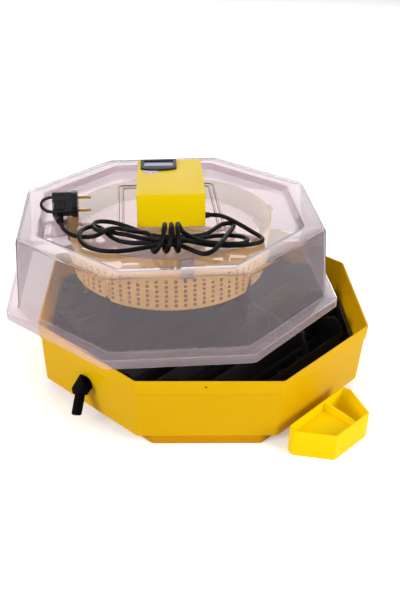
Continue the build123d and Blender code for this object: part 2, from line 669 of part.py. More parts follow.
# the hank, tied round its middle with its own cord, lies on the lid in front of the box
HANK_LOW, HANK_THICK, HANK_MIDDLE_THICK = PANEL_HEIGHT, 20.0, 40.0
with BuildPart() as cord_hank:
    with BuildSketch(on_lid(0, 0, HANK_LOW)):
        with Locations((-82, -83)):
            Ellipse(54, 51)
        with Locations((62, -103)):
            Ellipse(49, 46)
        with Locations((-8, -118)):
            RectangleRounded(92, 24, 8)
    extrude(amount=HANK_THICK)
    with BuildSketch(on_lid(-12, -129, HANK_LOW)):
        RectangleRounded(52, 48, 12)
    extrude(amount=HANK_MIDDLE_THICK)
    with BuildSketch(box_plane):
        Rectangle(BOX_WIDTH + 1, BOX_DEPTH + 1)
    extrude(amount=BOX_HEIGHT, mode=Mode.SUBTRACT)
save(cord_hank, "cord_hank")

TAIL_ROUTE = [(-128, -82, 118.7), (-141, -76, 118.7), (-152, -62, 119), (-159, -46, 119.8),
              (-162, -31, 121.2)]
cord_tail = cord_tube([lid_point(*p) for p in TAIL_ROUTE])
save(cord_tail, "cord_tail")

# the plug lies rolled back on its round front flange
roll = radians(PLUG_ROLL)
plug_across = lid_plane.y_dir * cos(roll) - lid_plane.z_dir * sin(roll)
plug_plane = Plane(origin=lid_point(PLUG_REAR, PLUG_Y, PLUG_HEIGHT), x_dir=plug_across,
                   z_dir=lid_plane.x_dir)
tail_end = lid_point(*TAIL_ROUTE[-1])
tail_direction = (tail_end - lid_point(*TAIL_ROUTE[-2])).normalized()
boot_plane = Plane(origin=tail_end, z_dir=tail_direction)
with BuildPart() as plug_body:
    with BuildSketch(plug_plane):
        RectangleRounded(28, 36, 8)
    extrude(amount=PLUG_FRONT - PLUG_REAR - 9)
    with BuildSketch(plug_plane.offset(PLUG_FRONT - PLUG_REAR - 9)):
        Circle(PLUG_RADIUS)
    extrude(amount=9)
save(plug_body, "plug_body")

with BuildPart() as plug_boot:
    with BuildSketch(boot_plane):
        Circle(5.4)
    with BuildSketch(boot_plane.offset(22)):
        Circle(8.0)
    loft()
    add(plug_body.part, mode=Mode.SUBTRACT)
save(plug_boot, "plug_boot")

with BuildPart() as plug_pins:
    with BuildSketch(plug_plane.offset(PLUG_FRONT - PLUG_REAR)):
        with Locations((0, 9.5), (0, -9.5)):
            Circle(2.4)
    extrude(amount=19)
save(plug_pins, "plug_pins")

with BuildPart() as plug_loop:
    loop_plane = Plane(origin=lid_point(PLUG_REAR, PLUG_Y + 2.5, PLUG_HEIGHT),
                       x_dir=lid_plane.x_dir, z_dir=lid_plane.y_dir * -1)
    with BuildSketch(loop_plane):
        Ellipse(19.5, 14)
        Ellipse(15.2, 9.8, mode=Mode.SUBTRACT)
        with Locations((15, 0)):
            Rectangle(30, 40, mode=Mode.SUBTRACT)
    extrude(amount=5)
save(plug_loop, "plug_loop")
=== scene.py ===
"""Looks of the egg incubator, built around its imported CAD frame. Metres, +Z up."""
import json
import math

import bmesh
import bpy
from mathutils import Matrix, Vector

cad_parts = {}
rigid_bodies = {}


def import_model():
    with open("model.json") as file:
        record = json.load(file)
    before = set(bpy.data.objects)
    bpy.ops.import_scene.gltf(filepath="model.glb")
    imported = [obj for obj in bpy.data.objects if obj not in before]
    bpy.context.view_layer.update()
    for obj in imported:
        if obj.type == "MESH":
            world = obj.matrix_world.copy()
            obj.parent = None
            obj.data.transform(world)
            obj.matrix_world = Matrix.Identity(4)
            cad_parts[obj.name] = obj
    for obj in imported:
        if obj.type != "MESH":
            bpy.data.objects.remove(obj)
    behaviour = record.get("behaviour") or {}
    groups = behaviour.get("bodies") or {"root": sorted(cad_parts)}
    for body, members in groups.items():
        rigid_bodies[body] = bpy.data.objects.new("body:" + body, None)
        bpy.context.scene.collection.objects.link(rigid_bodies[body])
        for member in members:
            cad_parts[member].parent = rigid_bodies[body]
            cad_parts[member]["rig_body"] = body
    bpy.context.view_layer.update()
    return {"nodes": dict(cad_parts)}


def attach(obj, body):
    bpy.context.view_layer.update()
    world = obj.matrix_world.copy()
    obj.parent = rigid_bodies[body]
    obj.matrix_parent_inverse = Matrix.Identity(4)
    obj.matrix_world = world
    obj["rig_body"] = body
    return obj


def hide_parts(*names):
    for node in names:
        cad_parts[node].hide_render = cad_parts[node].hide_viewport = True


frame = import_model()
nodes = frame["nodes"]

# ---- places, as in the CAD source --------------------------------------------------------------
MM = 0.001
LID_ORIGIN = Vector((-0.0479, 0.0343, 0.1087))
LID_TURN = math.radians(2.33)
LID_UP = Vector((-0.0281, 0.0139, 1.0)).normalized()
LID_ACROSS = Vector((math.cos(LID_TURN), math.sin(LID_TURN), 0.0))
LID_RIGHT = (LID_ACROSS - LID_UP * LID_ACROSS.dot(LID_UP)).normalized()
LID_BACK = LID_UP.cross(LID_RIGHT)
WALL = 2.5              # the lid's sheet, in millimetres
PANEL_HEIGHT = 115.0    # the flat top that the pocket is sunk into
POCKET_STEP = 1.5       # depth of each of the pocket's two steps


class Place:
    """A plane in space; at(x, y, height) gives a world point from millimetres on it."""

    def __init__(self, origin, right, back, up):
        self.origin, self.right, self.back, self.up = origin, right, back, up

    def at(self, x, y, height=0.0):
        return self.origin + (self.right * x + self.back * y + self.up * height) * MM

    def moved(self, x, y, height, turned):
        """A place beside this one, turned in its plane by so many degrees."""
        angle = math.radians(turned)
        right = self.right * math.cos(angle) + self.back * math.sin(angle)
        back = self.back * math.cos(angle) - self.right * math.sin(angle)
        return Place(self.at(x, y, height), right, back, self.up)


world = Place(Vector((0, 0, 0)), Vector((1, 0, 0)), Vector((0, 1, 0)), Vector((0, 0, 1)))
lid = Place(LID_ORIGIN, LID_RIGHT, LID_BACK, LID_UP)
box = lid.moved(3.0, 30.4, PANEL_HEIGHT - 2 * POCKET_STEP, -2.0)


# ---- materials ---------------------------------------------------------------------------------
class Nodes:
    """A material's node tree, with a shader and short ways to add to it."""

    def __init__(self, name):
        self.material = bpy.data.materials.new(name)
        self.material.use_nodes = True
        self.tree = self.material.node_tree
        self.shader = self.tree.nodes["Principled BSDF"]
        self.place = self.add("ShaderNodeTexCoord").outputs["Object"]

    def add(self, kind, **settings):
        node = self.tree.nodes.new(kind)
        for key, value in settings.items():
            setattr(node, key, value)
        return node

    def set(self, **values):
        """Sets the shader's inputs, named with underscores for spaces."""
        for key, value in values.items():
            self.shader.inputs[key.replace("_", " ")].default_value = value

    def link(self, source, socket):
        self.tree.links.new(source, socket)

    def noise(self, scale, detail, stretch=None):
        """A noise value over the piece; scale counts its lumps in a metre."""
        source = self.place
        if stretch:
            mapping = self.add("ShaderNodeMapping")
            mapping.inputs["Scale"].default_value = stretch
            self.link(source, mapping.inputs["Vector"])
            source = mapping.outputs["Vector"]
        node = self.add("ShaderNodeTexNoise")
        node.inputs["Scale"].default_value = scale
        node.inputs["Detail"].default_value = detail
        self.link(source, node.inputs["Vector"])
        return node.outputs["Fac"]

    def ramp(self, value, stops):
        """A colour that follows a value, from stops of (value, colour)."""
        node = self.add("ShaderNodeValToRGB")
        band = node.color_ramp
        while len(band.elements) < len(stops):
            band.elements.new(0.5)
        for element, (at, colour) in zip(band.elements, stops):
            element.position = at
            element.color = (*colour, 1.0)
        self.link(value, node.inputs["Fac"])
        return node.outputs["Color"]

    def map_range(self, value, low, high, to_low, to_high):
        node = self.add("ShaderNodeMapRange")
        for socket, number in zip(("From Min", "From Max", "To Min", "To Max"),
                                  (low, high, to_low, to_high)):
            node.inputs[socket].default_value = number
        self.link(value, node.inputs["Value"])
        return node.outputs["Result"]

    def bump(self, value, distance, strength=1.0):
        """Adds relief of so many metres to what the shader already has."""
        node = self.add("ShaderNodeBump")
        node.inputs["Distance"].default_value = distance
        node.inputs["Strength"].default_value = strength
        self.link(value, node.inputs["Height"])
        if self.shader.inputs["Normal"].is_linked:
            self.link(self.shader.inputs["Normal"].links[0].from_socket, node.inputs["Normal"])
        self.link(node.outputs["Normal"], self.shader.inputs["Normal"])


def shade(colour, factor):
    return tuple(min(1.0, channel * factor) for channel in colour)


# a colour mix node's sockets, which share their names with its other kinds
FACTOR, LOW_COLOUR, HIGH_COLOUR, MIXED_COLOUR = 0, 6, 7, 2


def moulded(name, colour, roughness, variation, gloss=0.5, painted_shade_band=None, painted_glow=0.0):
    """Injection-moulded plastic: faint flow marks in its colour, uneven gloss and a fine grain.

    The band argument, (height in metres, colour), paints shade: below that height the plastic gets
    that darker colour.
    The last argument paints light: an emission of that strength in the plastic's own colour lights
    every face, in place of the light that reaches them through thin walls.
    """
    plastic = Nodes(name)
    flow = plastic.noise(9.0, 4.0)
    paint = plastic.ramp(flow, [(0.25, shade(colour, 1 - variation)),
                                (0.75, shade(colour, 1 + variation))])
    if painted_shade_band:
        # painted shade: below the band's height the colour turns to the darker one
        split = plastic.add("ShaderNodeSeparateXYZ")
        plastic.link(plastic.place, split.inputs[0])
        edge, painted_shade_colour = painted_shade_band
        above = plastic.map_range(split.outputs["Z"], edge - 0.0004, edge + 0.0004, 0.0, 1.0)
        mix = plastic.add("ShaderNodeMix", data_type="RGBA")
        mix.inputs[LOW_COLOUR].default_value = (*painted_shade_colour, 1.0)
        plastic.link(above, mix.inputs[FACTOR])
        plastic.link(paint, mix.inputs[HIGH_COLOUR])
        paint = mix.outputs[MIXED_COLOUR]
    plastic.link(paint, plastic.shader.inputs["Base Color"])
    smudge = plastic.noise(35.0, 5.0)
    plastic.link(plastic.map_range(smudge, 0.3, 0.7, roughness * 0.8, roughness * 1.25),
                 plastic.shader.inputs["Roughness"])
    plastic.bump(plastic.noise(900.0, 2.0), 0.00004)
    plastic.bump(plastic.noise(14.0, 2.0), 0.0003, 0.25)
    plastic.set(IOR=1.5, Specular_IOR_Level=gloss)
    # painted light: the plastic's own colour also glows as an emission, though it is no lamp
    if painted_glow:
        plastic.link(paint, plastic.shader.inputs["Emission Color"])
        plastic.set(Emission_Strength=painted_glow)
    return plastic.material


PLINTH_TOP = 0.0139
# the tub's plinth below PLINTH_TOP is painted a darker amber: painted shade under the ledge of the
# wall above it
tub_amber = moulded("tub_amber", (0.600, 0.340, 0.0006), 0.34, 0.04, 0.06,
                    painted_shade_band=(PLINTH_TOP, (0.50, 0.225, 0.0006)))
# the cup and the box glow a little: painted light that lifts their shaded faces
cup_yellow = moulded("cup_yellow", (0.69, 0.475, 0.0008), 0.34, 0.03, 0.06, painted_glow=0.22)
box_yellow = moulded("box_yellow", (0.67, 0.47, 0.0008), 0.34, 0.03, 0.07, painted_glow=0.05)
rack_black = moulded("rack_black", (0.0035, 0.0030, 0.0035), 0.38, 0.15, 0.12)
lever_black = moulded("lever_black", (0.0016, 0.0013, 0.0013), 0.40, 0.15, 0.02)
# the drum glows a little: painted light on its shaded walls
basket_cream = moulded("basket_cream", (0.41, 0.28, 0.085), 0.45, 0.05, 0.15, painted_glow=0.16)
clip_grey = moulded("clip_grey", (0.20, 0.165, 0.17), 0.40, 0.05, 0.2)
bezel_navy = moulded("bezel_navy", (0.006, 0.006, 0.020), 0.30, 0.10, 0.07)
pad_lilac = moulded("pad_lilac", (0.60, 0.50, 0.60), 0.45, 0.04, 0.3)
key_lilac = moulded("key_lilac", (0.42, 0.36, 0.50), 0.40, 0.06, 0.3)
plug_black = moulded("plug_black", (0.0042, 0.0034, 0.0050), 0.24, 0.15, 0.45)
board_green = moulded("board_green", (0.010, 0.090, 0.035), 0.35, 0.20)
post_white = moulded("post_white", (0.70, 0.68, 0.62), 0.55, 0.05)
plate_white = moulded("plate_white", (0.96, 0.88, 0.80), 0.45, 0.02, 0.3)

DISPLAY_SPLIT = 54.5    # from the box's middle back to the window's far edge, in millimetres


def display_cover():
    """The display: a lilac-grey window in front, darker navy behind, under one glossy cover."""
    cover = Nodes("screen_grey")
    edge = cover.add("ShaderNodeVectorMath", operation="DOT_PRODUCT")
    edge.inputs[1].default_value = box.back
    cover.link(cover.place, edge.inputs[0])
    start = box.at(0, DISPLAY_SPLIT).dot(box.back)
    light = cover.map_range(edge.outputs["Value"], start - 0.0008, start + 0.0008, 0.0, 1.0)
    cover.link(cover.ramp(light, [(0.0, (0.30, 0.30, 0.42)), (1.0, (0.010, 0.009, 0.035))]),
               cover.shader.inputs["Base Color"])
    cover.link(cover.map_range(cover.noise(40.0, 4.0), 0.3, 0.7, 0.08, 0.16),
               cover.shader.inputs["Roughness"])
    cover.bump(cover.noise(30.0, 1.0), 0.0001)
    cover.set(IOR=1.5, Specular_IOR_Level=0.08)
    return cover.material


def metal(name, colour, roughness, stretch=(1, 1, 1)):
    """Bare metal with fine drawing or turning marks."""
    bare = Nodes(name)
    marks = bare.noise(600.0, 3.0, stretch)
    bare.link(bare.ramp(marks, [(0.3, shade(colour, 0.86)), (0.7, shade(colour, 1.08))]),
              bare.shader.inputs["Base Color"])
    bare.link(bare.map_range(marks, 0.3, 0.7, roughness * 0.75, roughness * 1.3),
              bare.shader.inputs["Roughness"])
    bare.bump(marks, 0.00002)
    bare.set(Metallic=1.0)
    return bare.material


screen_grey = display_cover()
brass = metal("pin_brass", (0.74, 0.47, 0.20), 0.26, (0.05, 1, 1))
steel = metal("steel", (0.55, 0.55, 0.56), 0.32)
hot_steel = metal("hot_steel", (0.22, 0.20, 0.19), 0.40)


def cord_sheath():
    """Soft PVC sheath: black, satin, very faintly uneven along its length."""
    sheath = Nodes("cord_black")
    dirt = sheath.noise(60.0, 4.0)
    sheath.link(sheath.ramp(dirt, [(0.3, (0.0018, 0.0015, 0.0015)),
                                   (0.75, (0.0040, 0.0034, 0.0036))]),
                sheath.shader.inputs["Base Color"])
    sheath.link(sheath.map_range(dirt, 0.3, 0.7, 0.36, 0.50), sheath.shader.inputs["Roughness"])
    sheath.bump(sheath.noise(500.0, 2.0), 0.00005)
    sheath.set(IOR=1.5, Specular_IOR_Level=0.12)
    return sheath.material


LID_CLEARNESS, FLANGE_CLEARNESS = 0.955, 0.87
FLANGE_TOP, WALL_FOOT = 14.6, 18.0


def clear_sheet():
    """Vacuum-formed sheet: faintly milky and pinkish, more so in its flange, with light shadows."""
    sheet = Nodes("lid_clear")
    haze = sheet.noise(7.0, 3.0)
    sheet.link(sheet.ramp(haze, [(0.3, (0.77, 0.67, 0.715)), (0.75, (0.82, 0.725, 0.77))]),
               sheet.shader.inputs["Base Color"])
    sheet.link(sheet.map_range(sheet.noise(22.0, 4.0), 0.3, 0.7, 0.02, 0.06),
               sheet.shader.inputs["Roughness"])
    sheet.bump(sheet.noise(9.0, 1.0), 0.0010, 0.12)
    height = sheet.add("ShaderNodeVectorMath", operation="DOT_PRODUCT")
    height.inputs[1].default_value = lid.up
    sheet.link(sheet.place, height.inputs[0])
    foot = lid.origin.dot(lid.up)
    sheet.link(sheet.map_range(height.outputs["Value"], foot + FLANGE_TOP * MM,
                               foot + WALL_FOOT * MM, FLANGE_CLEARNESS, LID_CLEARNESS),
               sheet.shader.inputs["Transmission Weight"])
    sheet.set(IOR=1.36)
    through = sheet.add("ShaderNodeBsdfTransparent")
    through.inputs["Color"].default_value = (0.90, 0.87, 0.885, 1.0)
    ray = sheet.add("ShaderNodeLightPath")
    pick = sheet.add("ShaderNodeMixShader")
    sheet.link(ray.outputs["Is Shadow Ray"], pick.inputs["Fac"])
    sheet.link(sheet.shader.outputs["BSDF"], pick.inputs[1])
    sheet.link(through.outputs["BSDF"], pick.inputs[2])
    sheet.link(pick.outputs["Shader"], sheet.tree.nodes["Material Output"].inputs["Surface"])
    return sheet.material


cord_black = cord_sheath()
lid_clear = clear_sheet()


# ---- mesh building -----------------------------------------------------------------------------
def piece_from(name, verts, faces, material, body, replaced=(), smooth=35.0):
    """A mesh piece that rides on a CAD body and stands for the replaced CAD nodes."""
    mesh = bpy.data.meshes.new(name)
    mesh.from_pydata([tuple(v) for v in verts], [], faces)
    tidy = bmesh.new()
    tidy.from_mesh(mesh)
    bmesh.ops.remove_doubles(tidy, verts=tidy.verts, dist=1e-6)
    bmesh.ops.recalc_face_normals(tidy, faces=tidy.faces)
    tidy.to_mesh(mesh)
    tidy.free()
    mesh.shade_smooth()
    mesh.set_sharp_from_angle(angle=math.radians(smooth))
    mesh.materials.append(material)
    made = bpy.data.objects.new(name, mesh)
    bpy.context.scene.collection.objects.link(made)
    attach(made, body)
    for node in replaced:
        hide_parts(node)
    return made


def rounded(corners, radius, steps=5):
    """An outline with each corner turned into an arc of steps + 1 points."""
    outline = []
    count = len(corners)
    for index, corner in enumerate(corners):
        corner = Vector(corner)
        before = (Vector(corners[index - 1]) - corner).normalized()
        after = (Vector(corners[(index + 1) % count]) - corner).normalized()
        half = before.angle(after) / 2
        reach = radius / math.tan(half)
        centre = corner + (before + after).normalized() * radius / math.sin(half)
        start, end = corner + before * reach - centre, corner + after * reach - centre
        turn = start.angle(end)
        for step in range(steps + 1):
            share = step / steps
            arm = start * math.sin((1 - share) * turn) + end * math.sin(share * turn)
            outline.append(centre + arm / math.sin(turn))
    return outline


def octagon(half, slant):
    """Corners of an eight-sided outline: four flats lie half, and four slant, from the middle."""
    end = math.sqrt(2) * slant - half
    corners = [(half, -end), (half, end), (end, half), (-end, half)]
    return corners + [(-x, -y) for x, y in corners]


def rectangle(left, right, front, back):
    return [(right, front), (right, back), (left, back), (left, front)]


def loops_of(place, rings):
    """Points of each ring, given as (outline, height)."""
    return [[place.at(p[0], p[1], height) for p in outline] for outline, height in rings]


def skin(loops, first=0):
    """Quads between loops of the same number of points, numbered from first."""
    count, faces = len(loops[0]), []
    for low in range(len(loops) - 1):
        start = first + low * count
        for index in range(count):
            after = (index + 1) % count
            faces.append((start + index, start + after, start + count + after,
                          start + count + index))
    return faces


def cap(loop_index, count, first=0):
    """One face over a whole loop of count points."""
    return tuple(first + loop_index * count + index for index in range(count))


def flatten(loops):
    return [point for loop in loops for point in loop]


def flat_with_holes(verts, outer, holes):
    """Triangles that fill a flat face of the lid's body, apart from the holes in it."""
    work = bmesh.new()
    made = {index: work.verts.new(verts[index]) for ring in (outer, *holes) for index in ring}
    back = {vertex: index for index, vertex in made.items()}
    for ring in (outer, *holes):
        for index, start in enumerate(ring):
            work.edges.new((made[start], made[ring[(index + 1) % len(ring)]]))
    bmesh.ops.triangle_fill(work, use_beauty=True, edges=work.edges[:], normal=LID_UP)
    faces = [tuple(back[vertex] for vertex in face.verts) for face in work.faces]
    work.free()
    return faces


def softened(node, name, material, width, segments):
    """A copy of a CAD node with its sharp edges rounded, which stands for the node."""
    source = nodes[node]
    body = source["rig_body"]
    mesh = source.data.copy()
    mesh.name = name
    mesh.materials.clear()
    work = bmesh.new()
    work.from_mesh(mesh)
    bmesh.ops.remove_doubles(work, verts=work.verts, dist=2e-6)
    bmesh.ops.dissolve_limit(work, angle_limit=math.radians(1.0), verts=work.verts,
                             edges=work.edges)
    work.to_mesh(mesh)
    work.free()
    made = bpy.data.objects.new(name, mesh)
    bpy.context.scene.collection.objects.link(made)
    round_off = made.modifiers.new("edges", "BEVEL")
    round_off.width = width * MM
    round_off.segments = segments
    round_off.limit_method = "ANGLE"
    round_off.angle_limit = math.radians(30.0)
    round_off.harden_normals = False
    apply_modifiers(made)
    made.data.shade_smooth()
    made.data.set_sharp_from_angle(angle=math.radians(35.0))
    made.data.materials.clear()
    made.data.materials.append(material)
    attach(made, body)
    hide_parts(node)


def apply_modifiers(piece):
    """Turns a piece's modifiers into plain mesh."""
    bpy.context.view_layer.update()
    evaluated = piece.evaluated_get(bpy.context.evaluated_depsgraph_get())
    mesh = bpy.data.meshes.new_from_object(evaluated)
    old, name = piece.data, piece.data.name
    piece.modifiers.clear()
    piece.data = mesh
    bpy.data.meshes.remove(old)
    mesh.name = name


def finish_node(node, material):
    """A CAD node whose shape is right keeps it, and gets its material."""
    mesh = nodes[node].data
    mesh.materials.clear()
    mesh.materials.append(material)


# ---- tub ---------------------------------------------------------------------------------------
def tub():
    """The tub's skin as rings of (half, slant, height), up the outside and down the inside."""
    outside = [(231.4, 216.4, 0.0), (231.9, 216.9, 0.35), (232.1, 217.2, 1.4),
               (232.3, 218.0, 13.9), (232.4, 231.8, 14.0), (232.75, 232.7, 14.4),
               (232.9, 232.85, 15.2), (236.9, 236.9, 86.2), (237.05, 237.05, 87.0),
               (237.5, 237.5, 87.3), (238.3, 238.3, 87.3), (238.65, 238.65, 87.8),
               (238.75, 238.75, 88.8), (239.9, 239.9, 107.6), (239.75, 239.75, 108.5),
               (239.1, 239.1, 109.0)]
    inside = [(237.9, 237.9, 109.0), (237.2, 237.2, 108.6), (237.0, 237.0, 107.8),
              (229.7, 229.7, 18.0), (229.5, 229.0, 17.0), (229.4, 214.3, 17.0),
              (229.3, 213.5, 16.4), (229.1, 213.2, 6.6), (228.6, 212.7, 5.5), (227.5, 211.6, 5.0),
              (153.0, 153.0, 5.0), (150.5, 150.5, 5.6), (150.0, 150.0, 6.6),
              (149.8, 149.8, 13.2), (149.2, 149.2, 14.0), (147.8, 147.8, 14.0),
              (147.2, 147.2, 13.2), (147.0, 147.0, 6.6), (146.5, 146.5, 5.6), (144.0, 144.0, 5.0)]
    loops = loops_of(world, [(rounded(octagon(h, s), 9.0), z) for h, s, z in outside + inside])
    count = len(loops[0])
    faces = skin(loops) + [cap(0, count)[::-1], cap(len(loops) - 1, count)]
    made = piece_from("tub", flatten(loops), faces, tub_amber, "tub",
                      ["base_tub"], 28.0)
    # a small round hole in the front wall, just under its rim
    drill(made, world.at(-5.0, -250.0, 100.0), world.back, 1.8, 20.0)


def drill(piece, start, direction, radius, length):
    """Cuts a round hole into a piece; radius and length are in millimetres."""
    cutter = bpy.data.objects.new("cutter", bpy.data.meshes.new("cutter"))
    work = bmesh.new()
    bmesh.ops.create_cone(work, cap_ends=True, segments=32, radius1=radius * MM,
                          radius2=radius * MM, depth=length * MM)
    turn = direction.to_track_quat("Z", "Y").to_matrix().to_4x4()
    centre = start + direction * length * MM / 2
    bmesh.ops.transform(work, matrix=Matrix.Translation(centre) @ turn, verts=work.verts)
    work.to_mesh(cutter.data)
    work.free()
    bpy.context.scene.collection.objects.link(cutter)
    cut = piece.modifiers.new("hole", "BOOLEAN")
    cut.object, cut.operation, cut.solver = cutter, "DIFFERENCE", "EXACT"
    apply_modifiers(piece)
    bpy.data.objects.remove(cutter)


tub()

# ---- lid ---------------------------------------------------------------------------------------
# left, right, front and back of the pocket's two steps
POCKET = (-76.0, 76.0, -62.0, 120.0)
INNER_POCKET = (-69.0, 69.0, -56.0, 114.0)


def lid_shell():
    """One closed skin, its rings (half, height, corner radius): up the outside, down the inside."""
    outside = [(243.2, 0.0, 12), (243.8, 0.6, 12), (243.9, 12.2, 12), (243.3, 13.7, 12),
               (241.8, 14.3, 11), (229.6, 14.3, 10), (227.6, 15.2, 9), (226.8, 17.2, 9),
               (221.1, 117.6, 9), (220.2, 120.6, 8), (218.4, 122.4, 8), (215.6, 123.0, 8),
               (193.0, 123.0, 7), (191.0, 122.5, 7), (189.9, 121.2, 7),
               (185.6, 116.6, 6), (184.6, 115.5, 6), (183.0, 115.0, 6)]
    inside = [(183.0, 112.5, 6), (186.6, 112.9, 6), (188.0, 113.9, 6), (192.4, 118.8, 7),
              (193.6, 120.1, 7), (195.4, 120.5, 7), (213.6, 120.5, 8), (216.4, 119.6, 8),
              (218.0, 117.4, 8), (224.3, 17.0, 9), (225.1, 13.6, 9), (227.6, 11.8, 10),
              (239.4, 11.8, 11), (240.9, 11.2, 12), (241.4, 9.8, 12), (241.3, 0.6, 12),
              (241.9, 0.0, 12)]
    loops = loops_of(lid, [(rounded(octagon(h, h), corner), z)
                           for h, z, corner in outside + inside])
    verts, count = flatten(loops), len(loops[0])
    faces = skin(loops[:len(outside)])
    faces += skin(loops[len(outside):], len(outside) * count)
    last = len(loops) - 1
    for index in range(count):
        after = (index + 1) % count
        faces.append((last * count + index, last * count + after, after, index))
    # the panel runs from the octagon to the pocket, on both sides of the sheet
    for ring, height, grow in ((len(outside) - 1, PANEL_HEIGHT, 0.0),
                               (len(outside), PANEL_HEIGHT - WALL, WALL)):
        steps = [(POCKET, 0.6, height, 8.0), (POCKET, 0.0, height - 0.5, 7.0),
                 (POCKET, 0.0, height - 1.0, 7.0), (POCKET, -0.6, height - POCKET_STEP, 6.5),
                 (INNER_POCKET, 0.6, height - POCKET_STEP, 6.0),
                 (INNER_POCKET, 0.0, height - POCKET_STEP - 0.5, 5.0),
                 (INNER_POCKET, 0.0, height - POCKET_STEP - 1.0, 5.0),
                 (INNER_POCKET, -0.6, height - 2 * POCKET_STEP, 4.5)]
        first = len(verts)
        rect_loops = []
        for (left, right, front, back), out, z, corner in steps:
            out += grow
            sides = rectangle(left - out, right + out, front - out, back + out)
            outline = rounded(sides, corner, 6)
            rect_loops.append([lid.at(p[0], p[1], z) for p in outline])
        rect_count = len(rect_loops[0])
        verts += flatten(rect_loops)
        faces += skin(rect_loops, first)
        faces.append(cap(len(rect_loops) - 1, rect_count, first))
        faces += flat_with_holes(verts, cap(ring, count), [cap(0, rect_count, first)])
    piece_from("lid_shell_clear", verts, faces, lid_clear, "lid",
               ["lid_shell"], 32.0)


lid_shell()


# ---- heater drum -------------------------------------------------------------------------------
def basket():
    """The drum: a wall with columns of small slots all round, and a floor with round holes.

    Points go round each level in turns, two to a column of slots, on the wall's outside and then
    on its inside.
    """
    radius, wall, columns, rows = 154.0, 2.0, 72, 6
    low, high, first_row, pitch = 30.0, 112.5, 36.0, 7.4
    slot_width, slot_tall, floor_thick, hole_sides = 4.8, 4.6, 2.5, 12
    levels = [low + floor_thick]
    for row in range(rows):
        levels += [first_row + row * pitch, first_row + row * pitch + slot_tall]
    levels.append(high)
    turns = []
    half_slot = slot_width / radius / 2
    for column in range(columns):
        middle = 2 * math.pi * column / columns
        turns += [middle - half_slot, middle + half_slot]
    count = len(turns)
    verts, faces = [], []
    for r in (radius, radius - wall):
        for level in levels:
            verts += [lid.at(r * math.cos(a), r * math.sin(a), level) for a in turns]
    inner = len(levels) * count

    def corner(side, level, turn):
        return side * inner + level * count + turn % count

    for level in range(len(levels) - 1):
        slotted = level % 2 == 1
        for turn in range(count):
            if slotted and turn % 2 == 0:
                a, b = (0, level, turn), (0, level, turn + 1)
                c, d = (0, level + 1, turn + 1), (0, level + 1, turn)
                for start, end in ((a, b), (b, c), (c, d), (d, a)):
                    faces.append((corner(*start), corner(*end),
                                  corner(1, *end[1:]), corner(1, *start[1:])))
                continue
            for side in (0, 1):
                faces.append((corner(side, level, turn), corner(side, level, turn + 1),
                              corner(side, level + 1, turn + 1), corner(side, level + 1, turn)))
    top = len(levels) - 1
    for turn in range(count):
        faces.append((corner(0, top, turn), corner(0, top, turn + 1),
                      corner(1, top, turn + 1), corner(1, top, turn)))
    # the lower edge rolls under into the floor
    rolls = [(radius - 0.3, low + 1.2), (radius - 1.2, low + 0.3), (radius - 2.6, low)]
    first = len(verts)
    for r, level in rolls:
        verts += [lid.at(r * math.cos(a), r * math.sin(a), level) for a in turns]
    for turn in range(count):
        after = (turn + 1) % count
        faces.append((turn, after, first + after, first + turn))
        for roll in range(len(rolls) - 1):
            a = first + roll * count
            faces.append((a + turn, a + after, a + count + after, a + count + turn))
    under = cap(len(rolls) - 1, count, first)
    floor = cap(0, count, inner)
    hole_circles = ((40, 8, 5.0), (75, 14, 5.0), (110, 20, 5.0), (135, 30, 3.0))
    for ring, level in ((under, low), (floor, low + floor_thick)):
        holes = []
        for hole_radius, number, size in hole_circles:
            for hole in range(number):
                angle = 2 * math.pi * hole / number
                x, y = hole_radius * math.cos(angle), hole_radius * math.sin(angle)
                holes.append(cap(0, hole_sides, len(verts)))
                for side in range(hole_sides):
                    turn = 2 * math.pi * side / hole_sides
                    verts.append(lid.at(x + size * math.cos(turn), y + size * math.sin(turn), level))
        faces += flat_with_holes(verts, ring, holes)
        if level == low:
            lower_holes = holes
        else:
            for a, b in zip(lower_holes, holes):
                for side in range(hole_sides):
                    after = (side + 1) % hole_sides
                    faces.append((a[side], a[after], b[after], b[side]))
    piece_from("drum", verts, faces, basket_cream, "lid",
               ["heater_basket"], 30.0)


basket()

# ---- pieces that keep their CAD shape, with their edges rounded --------------------------------
for rack in range(1, 8):
    softened(f"egg_rack_{rack}", f"rack_{rack}", rack_black, 0.5, 2)
softened("rack_frame", "ring_frame", rack_black, 0.5, 2)
softened("link_bar", "tie_bar", rack_black, 0.5, 2)
softened("lever_hub", "lever_arrow", lever_black, 1.6, 4)
softened("lever_handle", "lever_grip", lever_black, 1.4, 4)
softened("filler_cup", "water_cup", cup_yellow, 0.9, 3)
softened("control_housing", "box_cover", box_yellow, 1.3, 4)
softened("screen_bezel", "display_frame", bezel_navy, 0.8, 3)
softened("basket_clips", "drum_clips", clip_grey, 0.5, 2)
softened("plug_body", "plug_housing", plug_black, 2.0, 4)
softened("plug_loop", "plug_ring", plug_black, 1.6, 4)
softened("key_pad", "key_label", pad_lilac, 0.2, 2)
softened("key_less", "key_a", key_lilac, 0.4, 3)
softened("key_more", "key_b", key_lilac, 0.4, 3)
for node, material in (
        ("frame_screws", steel), ("lever_bush", lever_black), ("lever_shaft", steel),
        ("element_posts", post_white), ("heating_element", hot_steel),
        ("reflector_plate", plate_white), ("temperature_probe", steel),
        ("control_base", box_yellow), ("control_screws", steel), ("screen_glass", screen_grey),
        ("screen_module", bezel_navy), ("circuit_board", board_green),
        ("board_parts", plug_black), ("cable_gland", plug_black), ("plug_boot", plug_black),
        ("plug_pins", brass)):
    finish_node(node, material)


PLUG_REAR, PLUG_ROLL = (-173.0, 0.5, 135.3), math.radians(28.0)


